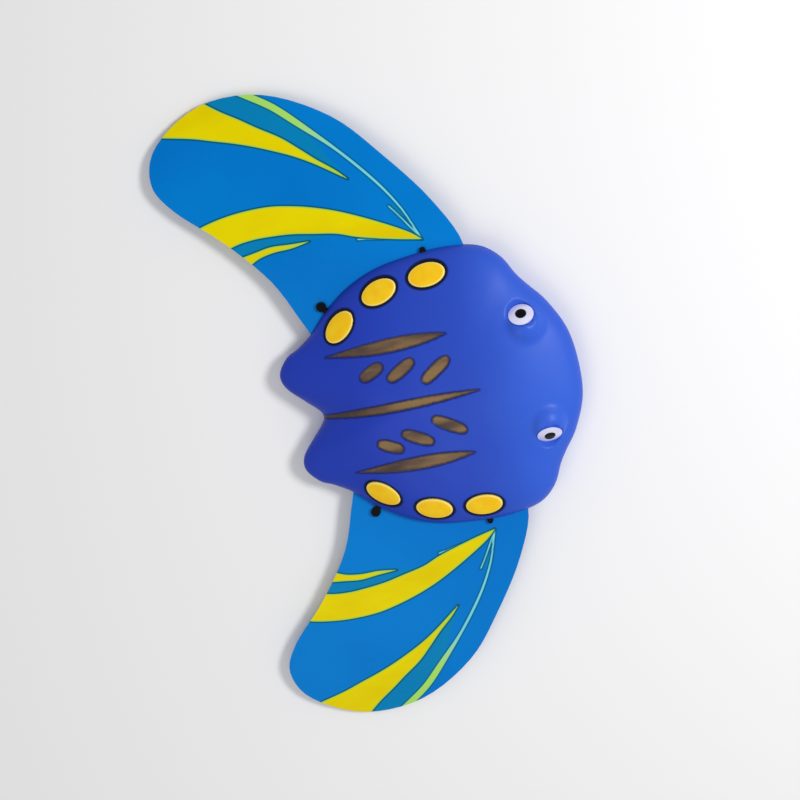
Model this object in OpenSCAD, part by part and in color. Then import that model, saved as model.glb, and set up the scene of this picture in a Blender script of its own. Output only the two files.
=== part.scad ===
// Stingray hand glider: a hollow two-shell body whose flexible wings swing on snap studs.
// Millimetres. +Z is up, the nose points to -Y, and z = 0 is the flat belly that it rests on.

/* [Body] */
// Width of the body across the shoulders
body_w = 188; // [178:1:200]
// Length of the body from the nose to the tail lobes
body_l = 201; // [191:1:211]
// Distance from the nose to the middle of the row of studs
nose_l = 117; // [113:1:121]
// Height of the belly shell up to the parting line
belly_h = 12; // [11:0.5:15]
// Height of the back shell above the parting line
back_h = 25; // [23:0.5:30]
// Extra height of the head over the back
head_rise = 3; // [1:0.5:5]
// Wall of both shells
wall = 3; // [2.6:0.1:3.4]
// Share of the radius over which the belly is flat
belly_flat = 0.78; // [0.75:0.01:0.82]

/* [Studs] */
// Length of a stud's oval head
stud_l = 25; // [22:0.5:28]
// Width of a stud's oval head
stud_w = 16; // [14:0.5:18]
// Thickness of a stud's head
stud_t = 2.6; // [2.2:0.1:3]
// How far a stud's head stands proud of the shell
stud_proud = 0.8; // [0.5:0.1:1.2]
// Distance of the studs from the rim
stud_inset = 14; // [13:0.5:15.5]
// Pitch of the studs along the body
stud_pitch = 37; // [34:0.5:39]
// Diameter of the post that a wing swings on
post_d = 6; // [5:0.2:7]

/* [Wings] */
// Span over both wing tips
wing_span = 446; // [420:1:470]
// Length of a wing from its leading edge to its tip
wing_l = 200; // [190:1:210]
// Thickness of the wing sheet
sheet_t = 1.2; // [0.8:0.1:1.6]
// How far a wing swings forward
sweep_fwd = 10; // [6:1:12]
// How far a wing swings back
sweep_aft = 6; // [3:1:7]
// Radius to which the outer wing droops
droop_r = 850; // [700:10:1400]

/* [Wing brakes] */
// Width of a brake's neck
brake_w = 4; // [3:0.2:5]
// Height of a brake
brake_h = 2.2; // [1.8:0.1:2.8]
// How far the head of a rear brake reaches out past the rim
brake_out = 7.5; // [6:0.5:8]
// How far the head of a front brake reaches out past the rim
brake_out_front = 3; // [2.5:0.5:4]

/* [Eyes] */
// Distance between the centres of the eyes
eye_gap = 82; // [76:1:88]
// Distance of the eyes behind the nose
eye_back = 28; // [26:1:32]
// Diameter of the white of an eye
eye_d = 18; // [16:0.5:20]
// Diameter of the pupil
pupil_d = 7; // [5.5:0.5:8.5]
// Radius of the round mound that carries an eye
mound_r = 15; // [14:0.5:17]
// Radius of the crowned face of an eye
eye_crown_r = 26; // [20:1:40]
// Tilt of an eye out from straight up
eye_tilt = 46; // [38:1:50]
// Turn of an eye from straight sideways towards the nose
eye_yaw = 8; // [0:1:25]

/* [Marks on the back] */
// Depth of the painted marks
mark_depth = 0.8; // [0.4:0.1:1.2]
// Width of the middle stripe
mid_stripe_w = 7; // [5:0.5:9]
// Width of a side stripe
side_stripe_w = 10; // [7:0.5:12]
// Distance of a side stripe from the middle
side_stripe_x = 41; // [38:0.5:44]
// Width of the leaf marks
leaf_w = 8; // [6:0.5:9.5]

/* [Belly] */
// Length of the mouth plate
mouth_l = 50; // [46:1:52]
// Width of the mouth plate
mouth_w = 39; // [36:1:42]
// Distance of the mouth plate behind the nose
mouth_back = 16; // [15:1:20]
// Length of a gill plate
gill_l = 46; // [40:1:50]
// Width of a gill plate
gill_w = 11.5; // [9:0.5:13]
// Thickness of the mouth and gill plates
plate_t = 1.6; // [1.2:0.1:1.8]
// Diameter of the vent hole
vent_d = 3; // [2:0.5:5]

/* [Ballast] */
// Length of the ballast slug
slug_l = 34; // [28:1:38]
// Width of the ballast slug
slug_w = 20; // [16:1:24]
// Thickness of the ballast slug
slug_t = 6; // [4:0.5:6.5]

/* [Hidden] */
$fn = 48;

eps = 0.01;             // overlap that keeps a cut from leaving a skin
seat_gap = 0.15;        // clearance round a piece that is pressed into its seat
slide_gap = 0.2;        // clearance over and under a wing in its slot
run_gap = 0.08;         // radial clearance of a wing on its post
end_grow = 0.03;        // how much wider the round ends of a wing's arc slots are
moat = 0.9;             // open line round each oval head
pad_t = 1.6;            // wall behind and beside the seat of an oval head
half_w = body_w / 2;
nose_y = -nose_l;
hub_y = nose_y + 0.508 * body_l;    // the point that the skin's rings close on
hub = [0, hub_y];
slot_z = belly_h;                   // floor of the wing slot: the top of the belly shell
sheet_z = slot_z + slide_gap;       // underside of the wing sheet
slot_top = sheet_z + sheet_t + slide_gap;
post_r = post_d / 2;
boss_r = post_r + 4.5;
socket_r = post_r + 2;
post_grip = 7;                      // length of post held in the cap's socket
steps = 4;                          // points on each span of the body's outline
fine = 180;                         // facets of the large balls that crown the studs
shell_fn = 20;                      // facets of the rounds inside the shells

// Points of the body's half outline, from the nose round the side to the tail notch,
// as shares of the half width and of the length.
half_marks = [[0, 0], [0.25, 0.012], [0.47, 0.057], [0.605, 0.103], [0.7, 0.134], [0.845, 0.17],
    [0.955, 0.233], [1, 0.334], [1, 0.441], [0.963, 0.582], [0.874, 0.692], [0.737, 0.788],
    [0.6, 0.857], [0.526, 0.911], [0.474, 0.96], [0.368, 0.998], [0.263, 0.99],
    [0.147, 0.941], [0.053, 0.897], [0, 0.885]];
lobe_mark = 15;                     // the point at the tip of a tail lobe

// Points of a wing, as [share of its reach from the pivot, share of its length], round the sheet.
wing_marks = [[-0.08, 0.055], [0.085, 0.008], [0.316, 0.075], [0.564, 0.195], [0.8, 0.34],
    [0.97, 0.55], [0.993, 0.766], [0.865, 0.945], [0.7, 0.995], [0.549, 0.94],
    [0.353, 0.8], [0.12, 0.672], [-0.128, 0.597], [-0.31, 0.53], [-0.27, 0.34], [-0.155, 0.12]];

// ---- curves ----
function blend_point(a, b, c, d, t) =
    (2 * b + (c - a) * t + (2 * a - 5 * b + 4 * c - d) * t * t + (3 * b - a - 3 * c + d) * t * t * t) / 2;
function closed_curve(p, n) = [for (i = [0:len(p) - 1], k = [0:n - 1])
    blend_point(p[(i + len(p) - 1) % len(p)], p[i], p[(i + 1) % len(p)], p[(i + 2) % len(p)], k / n)];
function mirrored(p) = [for (i = [len(p) - 2:-1:1]) [-p[i].x, p[i].y]];
function ellipse(w, l, n = 32) = [for (i = [0:n - 1]) [w / 2 * cos(i * 360 / n), l / 2 * sin(i * 360 / n)]];
function arc(r, from, to, n) = [for (i = [0:n]) let (a = from + (to - from) * i / n) r * [cos(a), sin(a)]];

// ---- the body's skin ----
half_points = [for (m = half_marks) [m.x * half_w, nose_y + m.y * body_l]];
rim = closed_curve(concat(half_points, mirrored(half_points)), steps);
rim_half = [for (i = [0:steps * (len(half_points) - 1)]) rim[i]];
side = [for (i = [0:steps * lobe_mark]) rim[i]];

function rim_x(y) = lookup(y, [for (p = side) [p.y, p.x]]);
function bearing(p) = atan2(abs(p.x), hub_y - p.y);
function rim_radius(p) = lookup(bearing(p), [for (q = rim_half) [bearing(q), norm(q - hub)]]);
function share(p) = min(1, norm(p - hub) / rim_radius(p));
// The back falls to 0.58 of its height at the tail and swells over the head; both go by shares of the body.
function along(y) = (y - nose_y) / body_l;
function tail_taper(y) = let (t = min(1, max(0, (along(y) - 0.632) / 0.388))) 1 - 0.42 * t * t * (3 - 2 * t);
function head_swell(p) = exp(-pow(p.x / half_w / 0.553, 2) - pow((along(p.y) - 0.194) / 0.169, 2));
function back_z(s, p) = belly_h + back_h * tail_taper(p.y) * pow(max(0, 1 - s * s), 0.42)
    + head_rise * head_swell(p) * (1 - pow(s, 4));
function back_at(p) = back_z(share(p), p);
function belly_z(s) = let (t = max(0, (s - belly_flat) / (1 - belly_flat))) belly_h * t * t;
function belly_at(p) = belly_z(share(p));
// A ring of the skin takes every other point of the rim, and the next ring the points between.
function ring(k, s, inset) = [for (i = [k % 2:2:len(rim) - 1])
    let (out = rim[i] - hub) hub + out * s * (1 - inset / norm(out))];

// A closed skin through staggered rings of points that are listed from the bottom up.
module loft(rings, low, high) {
    n = len(rings[0]);
    last = len(rings) * n + 1;
    points = concat([low], [for (r = rings) each r], [high]);
    function at(k, i) = 1 + k * n + i % n;
    faces = concat(
        [for (i = [0:n - 1]) [0, at(0, i), at(0, i + 1)]],
        [for (k = [0:len(rings) - 2], i = [0:n - 1]) [at(k, i), at(k + 1, i), at(k + k % 2, i + 1)]],
        [for (k = [0:len(rings) - 2], i = [0:n - 1]) [at(k + 1 - k % 2, i), at(k + 1, i + 1), at(k, i + 1)]],
        [for (i = [0:n - 1]) [last, last - n + (i + 1) % n, last - n + i]]);
    polyhedron(points, faces);
}

// Everything between the parting plane and the back's skin, sunk by drop and set in by inset.
module back_solid(inset = 0, drop = 0, count = 9) {
    shares = [for (i = [0:count - 1]) cos(90 * i / count)];
    loft([for (k = [0:count - 1])
            [for (p = ring(k, shares[k], inset)) [p.x, p.y, back_z(shares[k], p) - drop]]],
        [0, hub_y, belly_h - drop], [0, hub_y, back_z(0, hub) - drop]);
}

// Everything between the belly's skin and the parting plane, lifted by lift and set in by inset.
module belly_solid(inset = 0, lift = 0, count = 6) {
    shares = [for (i = [0:count]) belly_flat + (1 - belly_flat) * i / count];
    loft([for (k = [0:count]) [for (p = ring(k, shares[k], inset)) [p.x, p.y, belly_z(shares[k]) + lift]]],
        [0, hub_y, lift], [0, hub_y, belly_h + lift]);
}

// ---- stud places ----
function rim_point(k) = let (y = (k - 1) * stud_pitch + 3) [rim_x(y), y];
function rim_heading(k) = let (y = rim_point(k).y) atan((rim_x(y - 2) - rim_x(y + 2)) / 4);
function stud_xy(k) = rim_point(k) - stud_inset * [cos(rim_heading(k)), sin(rim_heading(k))];
function out_from(k, d) = stud_xy(k) + d * [cos(rim_heading(k)), sin(rim_heading(k))];
function back_slope(k) = atan((back_at(out_from(k, -3)) - back_at(out_from(k, 3))) / 6);
function belly_slope(k) = atan((belly_at(out_from(k, 3)) - belly_at(out_from(k, -3))) / 6);
// A head on the belly is set in so far that the part still rests on the flat belly.
function belly_seat(k) = max(belly_at(stud_xy(k)), stud_proud + stud_w / 2 * sin(belly_slope(k)));
pivot = stud_xy(0);
reach = wing_span / 2 - pivot.x;
wing_front = pivot.y - 0.14 * wing_l;

module on_side(side) { mirror([side < 0 ? 1 : 0, 0, 0]) children(); }
module both_sides() { children(); mirror([1, 0, 0]) children(); }
module at_stud(k, z = 0) {
    translate([stud_xy(k).x, stud_xy(k).y, z]) rotate([0, 0, rim_heading(k)]) children();
}
module on_back(k) { at_stud(k, back_at(stud_xy(k))) rotate([0, back_slope(k), 0]) children(); }
module on_belly(k) { at_stud(k, belly_seat(k)) rotate([0, 180 - belly_slope(k), 0]) children(); }

// ---- studs ----
module oval(extra, h) { linear_extrude(h) polygon(ellipse(stud_w + 2 * extra, stud_l + 2 * extra)); }

module oval_head() {
    crown_r = 60;       // radius of the crowned face
    translate([0, 0, stud_proud - stud_t])
        intersection() {
            oval(0, stud_t);
            translate([0, 0, stud_t - crown_r]) sphere(crown_r, $fn = fine);
        }
}

module stud_cap(k) {
    socket_from = slot_top + slide_gap;
    color("gold") {
        difference() {
            union() {
                on_back(k) oval_head();
                at_stud(k, socket_from)
                    cylinder(h = back_at(stud_xy(k)) - socket_from - stud_t + stud_proud + 1, r = socket_r);
            }
            at_stud(k, slot_top) cylinder(h = post_grip + 0.5, r = post_r + seat_gap / 3);
        }
    }
}

module stud_post(k) {
    color("gold") {
        on_belly(k) oval_head();
        at_stud(k, belly_seat(k) + 0.5) cylinder(h = slot_top + post_grip - belly_seat(k) - 0.5, r = post_r);
    }
}

// The seat of an oval head, and the thicker wall behind it.
module stud_pocket() { translate([0, 0, stud_proud - stud_t - seat_gap]) oval(moat, 20); }
module stud_pad() { translate([0, 0, stud_proud - stud_t - seat_gap - pad_t]) oval(moat + pad_t, 20); }

// ---- eyes ----
eye_dir = [sin(eye_tilt) * cos(eye_yaw), -sin(eye_tilt) * sin(eye_yaw), cos(eye_tilt)];
eye_seat = sqrt(pow(mound_r, 2) - pow(eye_d / 2, 2));      // where the eye's edge meets the mound
mound_xy = [eye_gap / 2, nose_y + eye_back] - eye_seat * [eye_dir.x, eye_dir.y];
mound_top = 5;                                             // how far the mound rises over the head
mound = [mound_xy.x, mound_xy.y, back_at(mound_xy) + mound_top - mound_r];
eye_inset = 1.5;                                           // depth of the eye's seat in the mound
eye_edge = eye_crown_r - sqrt(pow(eye_crown_r, 2) - pow(eye_d / 2, 2));     // fall of the face to its edge
eye_ball = eye_seat + eye_edge - eye_crown_r;              // centre of the crowned face's ball
eye_peg_r = 2.5;
eye_peg_l = 4;
pupil_floor = eye_seat - eye_inset + 1;
pupil_proud = 0.4;

module at_eye() { translate(mound) rotate([0, 0, -eye_yaw]) rotate([0, eye_tilt, 0]) children(); }

module eye_white() {
    color("white")
        at_eye() {
            intersection() {
                translate([0, 0, eye_ball]) sphere(eye_crown_r, $fn = fine);
                translate([0, 0, eye_seat - eye_inset]) difference() {
                    cylinder(h = mound_r, r = eye_d / 2);
                    translate([0, 0, 1]) cylinder(h = mound_r, r = pupil_d / 2 + seat_gap / 3);
                }
            }
            translate([0, 0, eye_seat - eye_inset - eye_peg_l]) cylinder(h = eye_peg_l + eps, r = eye_peg_r);
        }
}

module eye_pupil() {
    color("black")
        at_eye() intersection() {
            translate([0, 0, eye_ball]) sphere(eye_crown_r + pupil_proud, $fn = fine);
            translate([0, 0, pupil_floor]) cylinder(h = mound_r, r = pupil_d / 2);
        }
}

// ---- marks ----
// Each is [distance from the middle as a share of the half width, place along the body as a share of
// its length, length as a share of the body's length, turn].
leaves = [[0.202, 0.448, 0.119, 32], [0.25, 0.562, 0.109, 28], [0.277, 0.662, 0.09, 24]];
stripe_end_r = 0.6;

// A spindle-shaped stripe between two places along the body.
module stripe(w, from, to) {
    start = nose_y + from * body_l;
    end = nose_y + to * body_l;
    hull() {
        translate([0, start]) circle(stripe_end_r, $fn = 6);
        translate([0, (start + end) / 2]) circle(w / 2, $fn = 20);
        translate([0, end]) circle(stripe_end_r, $fn = 6);
    }
}

module leaf(m) {
    reach = (m[2] * body_l - leaf_w) / 2;
    translate([m[0] * half_w, nose_y + m[1] * body_l]) rotate(m[3]) hull() {
        translate([0, -reach]) circle(0.35 * leaf_w, $fn = 16);
        translate([0, reach]) circle(0.5 * leaf_w, $fn = 16);
    }
}

module back_marks() {
    stripe(mid_stripe_w, 0.318, 0.94);
    for (side = [-1, 1]) {
        translate([side * side_stripe_x, 0]) stripe(side_stripe_w, 0.383, 0.811);
        mirror([side < 0 ? 1 : 0, 0]) for (m = leaves) leaf(m);
    }
}

// ---- body ----
module wing_slot() {
    root_x = 0.27 * half_w;     // the slot goes a little deeper than the wing's root
    front = wing_front - 20;
    back = nose_y + 0.917 * body_l;
    translate([0, 0, slot_z - eps]) linear_extrude(slot_top - slot_z + eps)
        polygon([[root_x, wing_front], [0.63 * half_w, front], [body_w, front],
            [body_w, back], [root_x + 4, back], [root_x, back - 17]]);
}

// A rubber brake bears on the wing beside a stud, with its head outside the rim.
function brake_reach(k) = k == 0 ? brake_out_front : brake_out;
function brake_head_r(k) = 1 + 0.3 * brake_reach(k);
brake_foot = 1.4;       // length of the wider foot that holds a brake in the shell
brake_flare = 1;        // how much wider the foot is on each side
module brake_shape(k, grow = 0) {
    from = boss_r + slide_gap;
    neck = stud_inset + brake_reach(k) - brake_head_r(k) - from;
    linear_extrude(brake_h + grow) {
        translate([from - grow, -brake_w / 2 - grow]) square([neck + grow, brake_w + 2 * grow]);
        translate([from - grow, -brake_w / 2 - brake_flare - grow])
            square([brake_foot + 2 * grow, brake_w + 2 * (brake_flare + grow)]);
    }
}

module back_shell() {
    $fn = shell_fn;
    color("royalblue")
        difference() {
            union() {
                difference() {
                    union() {
                        back_solid();
                        both_sides() translate(mound) sphere(mound_r);
                    }
                    back_solid(inset = wall, drop = wall, count = 5);
                    translate([-body_w, nose_y - 50, -belly_h]) cube([2 * body_w, 2 * body_l, 2 * belly_h]);
                }
                intersection() {
                    back_solid(drop = wall / 2);
                    both_sides() for (k = [0:2]) at_stud(k, slot_top) cylinder(h = back_h, r = boss_r);
                }
            }
            both_sides() {
                wing_slot();
                for (k = [0:2]) {
                    on_back(k) stud_pocket();
                    at_stud(k, 0) cylinder(h = back_h + belly_h, r = socket_r + seat_gap);
                }
                for (k = [0, 2]) at_stud(k, slot_top - eps) brake_shape(k, seat_gap);
                at_eye() translate([0, 0, eye_seat - eye_inset - seat_gap])
                    cylinder(h = mound_r, r = eye_d / 2 + seat_gap);
                at_eye() translate([0, 0, eye_seat - eye_inset - eye_peg_l - 1])
                    cylinder(h = mound_r, r = eye_peg_r + seat_gap);
            }
            difference() {
                linear_extrude(belly_h + back_h + 10) back_marks();
                back_solid(drop = mark_depth);
            }
        }
}

mouth_y = nose_y + mouth_back + mouth_l / 2;
plate_sunk = 0.2;       // how far the plates lie in from the belly's face
floor_t = plate_sunk + plate_t + 2.2;

module mouth_outline(extra = 0) {
    difference() {
        translate([0, mouth_y]) polygon(ellipse(mouth_w + 2 * extra, mouth_l + 2 * extra, 40));
        translate([0, mouth_y + mouth_l / 2 + 5 + 2 * extra]) circle(mouth_w * 0.28);
    }
}

module gill_outline(extra = 0) {
    translate([mouth_w / 2 + 2, mouth_y + mouth_l / 2 + 1]) rotate(-3) hull() {
        translate([0.8, -gill_l / 2 + 1]) circle(0.9 + extra, $fn = 16);
        translate([0, -2]) scale([1, 1.6]) circle(gill_w / 2 + extra, $fn = 32);
        translate([-1, gill_l / 2 - 1]) circle(0.9 + extra, $fn = 16);
    }
}

module gill_cut(extra = 0) {
    difference() {
        gill_outline(extra);
        translate([0, mouth_y]) polygon(ellipse(mouth_w + 3 - 2 * extra, mouth_l + 3 - 2 * extra, 40));
    }
}

// A raised-looking finger is drawn on the belly by a groove round it.
finger_r = 0.063 * half_w;
groove_w = 1.2;
module finger_groove() {
    module finger(r) {
        hull() {
            translate([0.337 * half_w, mouth_y - 2]) circle(r - 1, $fn = 16);
            translate([0.821 * half_w, rim_point(0).y - 0.102 * body_l]) circle(r, $fn = 16);
        }
    }
    difference() {
        finger(finger_r);
        finger(finger_r - groove_w);
    }
}

// Two pleats on each side run forward from the tail: each is [wide end, narrow end],
// as shares of the half width and of the body's length from the nose.
pleats = [[[0.421, 0.893], [0.347, 0.65]], [[0.253, 0.932], [0.179, 0.767]]];
pleat_r = 1.6;
module tail_pleats() {
    for (p = pleats) hull() {
        translate([p[0].x * half_w, nose_y + p[0].y * body_l]) circle(pleat_r, $fn = 16);
        translate([p[1].x * half_w, nose_y + p[1].y * body_l]) circle(pleat_r / 3, $fn = 12);
    }
}

module belly_shell() {
    $fn = shell_fn;
    color("royalblue")
        difference() {
            union() {
                difference() {
                    belly_solid();
                    belly_solid(inset = wall, lift = wall, count = 4);
                }
                intersection() {
                    belly_solid(lift = wall / 2);
                    union() {
                        both_sides() for (k = [0:2]) {
                            at_stud(k, 0) cylinder(h = belly_h, r = boss_r);
                            on_belly(k) stud_pad();
                        }
                        translate([0, mouth_y, 0]) linear_extrude(floor_t)
                            square([mouth_w + 22, mouth_l + 6], center = true);
                        translate([0, mouth_y, 0]) difference() {
                            linear_extrude(floor_t + slug_t - 1)
                                square([slug_w + 5, slug_l + 5], center = true);
                            translate([0, 0, floor_t]) linear_extrude(slug_t)
                                square([slug_w + 2 * seat_gap, slug_l + 2 * seat_gap], center = true);
                        }
                    }
                }
            }
            both_sides() {
                for (k = [0:2]) {
                    on_belly(k) stud_pocket();
                    at_stud(k, -1) cylinder(h = belly_h + 2, r = post_r + seat_gap);
                }
                translate([0, 0, -eps]) linear_extrude(plate_t + plate_sunk + eps) gill_cut(seat_gap);
                difference() {
                    translate([0, 0, -1]) linear_extrude(belly_h) {
                        finger_groove();
                        tail_pleats();
                    }
                    belly_solid(lift = mark_depth);
                }
            }
            translate([-body_w, nose_y - 50, belly_h]) cube([2 * body_w, 2 * body_l, belly_h]);
            translate([0, 0, -eps]) linear_extrude(plate_t + plate_sunk + eps) mouth_outline(seat_gap);
            translate([0, 22, -1]) cylinder(h = belly_h, r = vent_d / 2);
        }
}

module mouth_plate() {
    color("white") translate([0, 0, plate_sunk]) linear_extrude(plate_t) mouth_outline();
}

module gill_plate() {
    color("white") translate([0, 0, plate_sunk]) linear_extrude(plate_t) gill_cut();
}

module ballast_slug() {
    color("dimgray") translate([0, mouth_y, floor_t])
        linear_extrude(slug_t) square([slug_w, slug_l], center = true);
}

// ---- wings ----
wing_points = closed_curve([for (m = wing_marks) [pivot.x + m.x * reach, wing_front + m.y * wing_l]], 5);

// A slot along the arc that a fixed post draws in the swinging sheet.
module arc_slot(k) {
    v = stud_xy(k) - pivot;
    r = norm(v);
    at = atan2(v.y, v.x);
    w = post_r + run_gap + 0.1;
    from = at - sweep_aft;
    to = at + sweep_fwd;
    translate(pivot) {
        polygon(concat(arc(r + w, from, to, 8), arc(r - w, to, from, 8)));
        for (a = [from, to]) translate(r * [cos(a), sin(a)]) circle(w + end_grow);
    }
}

// The sheet is flat at the root and droops outboard of the body on a round bend.
module bent_sheet() {
    bend_from = half_w + 8;
    turn = asin((wing_span / 2 + 5 - bend_from) / droop_r);
    bend = arc(1, 90, 90 - turn, 14);
    centre = [bend_from, sheet_z - droop_r];
    translate([0, wing_front + wing_l + 20, 0]) rotate([90, 0, 0]) linear_extrude(wing_l + 60)
        polygon(concat([[0, sheet_z]], [for (p = bend) centre + droop_r * p],
            [for (i = [len(bend) - 1:-1:0]) centre + (droop_r + sheet_t) * bend[i]],
            [[0, sheet_z + sheet_t]]));
}

module wing() {
    color("dodgerblue")
        intersection() {
            linear_extrude(belly_h + 10) difference() {
                polygon(wing_points);
                translate(pivot) circle(post_r + run_gap);
                arc_slot(1);
                arc_slot(2);
            }
            bent_sheet();
        }
}

module wing_brake(k) {
    color("black") at_stud(k, sheet_z + sheet_t + slide_gap / 2) {
        brake_shape(k);
        translate([stud_inset + brake_reach(k) - brake_head_r(k), 0, 0])
            cylinder(h = brake_h, r = brake_head_r(k));
    }
}

back_shell();
belly_shell();
wing();  // wing_left
on_side(-1) wing();  // wing_right
stud_cap(0);  // stud_cap_left_front
stud_cap(1);  // stud_cap_left_mid
stud_cap(2);  // stud_cap_left_rear
on_side(-1) stud_cap(0);  // stud_cap_right_front
on_side(-1) stud_cap(1);  // stud_cap_right_mid
on_side(-1) stud_cap(2);  // stud_cap_right_rear
stud_post(0);  // stud_post_left_front
stud_post(1);  // stud_post_left_mid
stud_post(2);  // stud_post_left_rear
on_side(-1) stud_post(0);  // stud_post_right_front
on_side(-1) stud_post(1);  // stud_post_right_mid
on_side(-1) stud_post(2);  // stud_post_right_rear
wing_brake(0);  // wing_brake_left_front
wing_brake(2);  // wing_brake_left_rear
on_side(-1) wing_brake(0);  // wing_brake_right_front
on_side(-1) wing_brake(2);  // wing_brake_right_rear
eye_white();  // eye_white_left
on_side(-1) eye_white();  // eye_white_right
eye_pupil();  // eye_pupil_left
on_side(-1) eye_pupil();  // eye_pupil_right
mouth_plate();
gill_plate();  // gill_plate_left
on_side(-1) gill_plate();  // gill_plate_right
ballast_slug();
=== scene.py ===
"""Stingray hand glider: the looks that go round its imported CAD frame.

All sizes are in millimetres in the row's frame (+Z up, nose to -Y) and become metres in the meshes.
"""

import functools
import logging
import math
from collections.abc import Sequence
from dataclasses import dataclass, field
from enum import Enum

import bmesh
import bpy
import numpy as np
from bmesh.types import BMesh
from bpy.types import Material, Node, NodeSocket as Socket, Object
from mathutils import Matrix, Vector

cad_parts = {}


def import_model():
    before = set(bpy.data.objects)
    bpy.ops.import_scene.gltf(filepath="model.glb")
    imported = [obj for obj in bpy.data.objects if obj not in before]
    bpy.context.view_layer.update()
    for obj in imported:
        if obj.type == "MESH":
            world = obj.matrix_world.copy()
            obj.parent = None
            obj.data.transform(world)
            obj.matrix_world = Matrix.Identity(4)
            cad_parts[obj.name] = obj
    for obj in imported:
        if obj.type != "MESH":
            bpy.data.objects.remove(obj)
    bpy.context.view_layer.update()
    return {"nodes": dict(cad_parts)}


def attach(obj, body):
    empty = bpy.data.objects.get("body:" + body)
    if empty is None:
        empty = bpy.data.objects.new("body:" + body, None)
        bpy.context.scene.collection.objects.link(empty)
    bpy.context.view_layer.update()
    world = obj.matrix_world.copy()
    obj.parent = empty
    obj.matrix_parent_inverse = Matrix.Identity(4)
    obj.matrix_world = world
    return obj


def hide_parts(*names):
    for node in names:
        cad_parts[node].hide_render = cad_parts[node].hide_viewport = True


log = logging.getLogger("ray_glider")

MM = 0.001  # metres in a millimetre
FAR = 9.0  # the materials get distances of up to this many millimetres

Array = np.ndarray
Pair = tuple[float, float]
Triple = tuple[float, float, float]
Points = Sequence[Pair]


class Named(Enum):
    """A choice whose name is a word in the names of nodes."""

    @property
    def label(self) -> str:
        """That word."""
        return self.name.lower()


class Side(Named):
    """A side of the glider; the value is the sign of its X."""

    LEFT = 1
    RIGHT = -1


class Row(Named):
    """A stud's place along the body; the value is its step from the middle one."""

    FRONT = -1
    MID = 0
    REAR = 1


# -------- curves and distances


def smooth_curve(points: Points, steps: int, closed: bool = False) -> Array:
    """A Catmull-Rom curve through the points.

    Args:
        points: the points that the curve passes through.
        steps: how many points each span gets.
        closed: whether the last point joins the first.
    Returns:
        An (n, 2) array of points.
    """
    p = np.asarray(points, float)
    n = len(p)
    spans = n if closed else n - 1
    out = []
    for i in range(spans):
        picks = [i - 1, i, i + 1, i + 2]
        picks = [j % n for j in picks] if closed else [min(max(j, 0), n - 1) for j in picks]
        a, b, c, d = p[picks]
        bend, twist = 2 * a - 5 * b + 4 * c - d, 3 * b - a - 3 * c + d
        for t in np.arange(steps) / steps:
            out.append((2 * b + (c - a) * t + bend * t**2 + twist * t**3) / 2)
    if not closed:
        out.append(p[-1])
    return np.array(out)


def line_distance(at: Array, line: Array, closed: bool = False) -> Array:
    """The distance from each place to the nearest point of a line."""
    starts = line if closed else line[:-1]
    ends = np.roll(line, -1, axis=0) if closed else line[1:]
    best = np.full(len(at), 1e9)
    for a, b in zip(starts, ends):
        along = b - a
        t = np.clip(((at - a) @ along) / max(along @ along, 1e-12), 0, 1)
        best = np.minimum(best, np.hypot(*(at - a - t[:, None] * along).T))
    return best


def inside(at: Array, loop: Array) -> Array:
    """Whether each place lies inside the loop."""
    hits = np.zeros(len(at), bool)
    x, y = at.T
    for (ax, ay), (bx, by) in zip(loop, np.roll(loop, -1, axis=0)):
        crosses = (ay > y) != (by > y)
        hits ^= crosses & (x < (bx - ax) * (y - ay) / (by - ay if by != ay else 1e-12) + ax)
    return hits


def signed_distance(at: Array, loop: Array) -> Array:
    """The distance to the loop, negative inside it."""
    return np.where(inside(at, loop), -1, 1) * line_distance(at, loop, closed=True)


def nearest(at: Array, loops: Sequence[Array]) -> Array:
    """The signed distance to the nearest of the loops."""
    return np.min([signed_distance(at, loop) for loop in loops], axis=0)


def capped(distance: Array) -> Array:
    """The distance as the materials get it."""
    return np.clip(distance, -FAR, FAR)


def smooth_step(t: Array) -> Array:
    """0 below 0, 1 above 1, and a smooth rise between."""
    t = np.clip(t, 0, 1)
    return t * t * (3 - 2 * t)


def ellipse(width: float, length: float, count: int = 64, blunt: float = 2) -> Array:
    """Points of an ellipse round the origin.

    Args:
        width: its width, along X.
        length: its length, along Y.
        count: how many points it has.
        blunt: its outline's power, which squares it off when over 2.
    Returns:
        A (count, 2) array.
    """
    a = np.arange(count) * 2 * math.pi / count
    c, s = np.cos(a), np.sin(a)
    x, y = np.sign(c) * np.abs(c) ** (2 / blunt), np.sign(s) * np.abs(s) ** (2 / blunt)
    return np.stack([width / 2 * x, length / 2 * y], axis=1)


def turned(points: Array, degrees: float) -> Array:
    """The points turned round the origin."""
    c, s = math.cos(math.radians(degrees)), math.sin(math.radians(degrees))
    return points @ np.array([[c, s], [-s, c]])


def rotation(degrees: float, axis: str) -> Matrix:
    """A turn about an axis of the frame."""
    return Matrix.Rotation(math.radians(degrees), 4, axis)


def sided(place: Matrix, side: Side) -> Matrix:
    """A placing on the left side, mirrored where the side is the right one."""
    return place if side is Side.LEFT else Matrix.Diagonal((-1, 1, 1, 1)) @ place


# -------- materials


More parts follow.
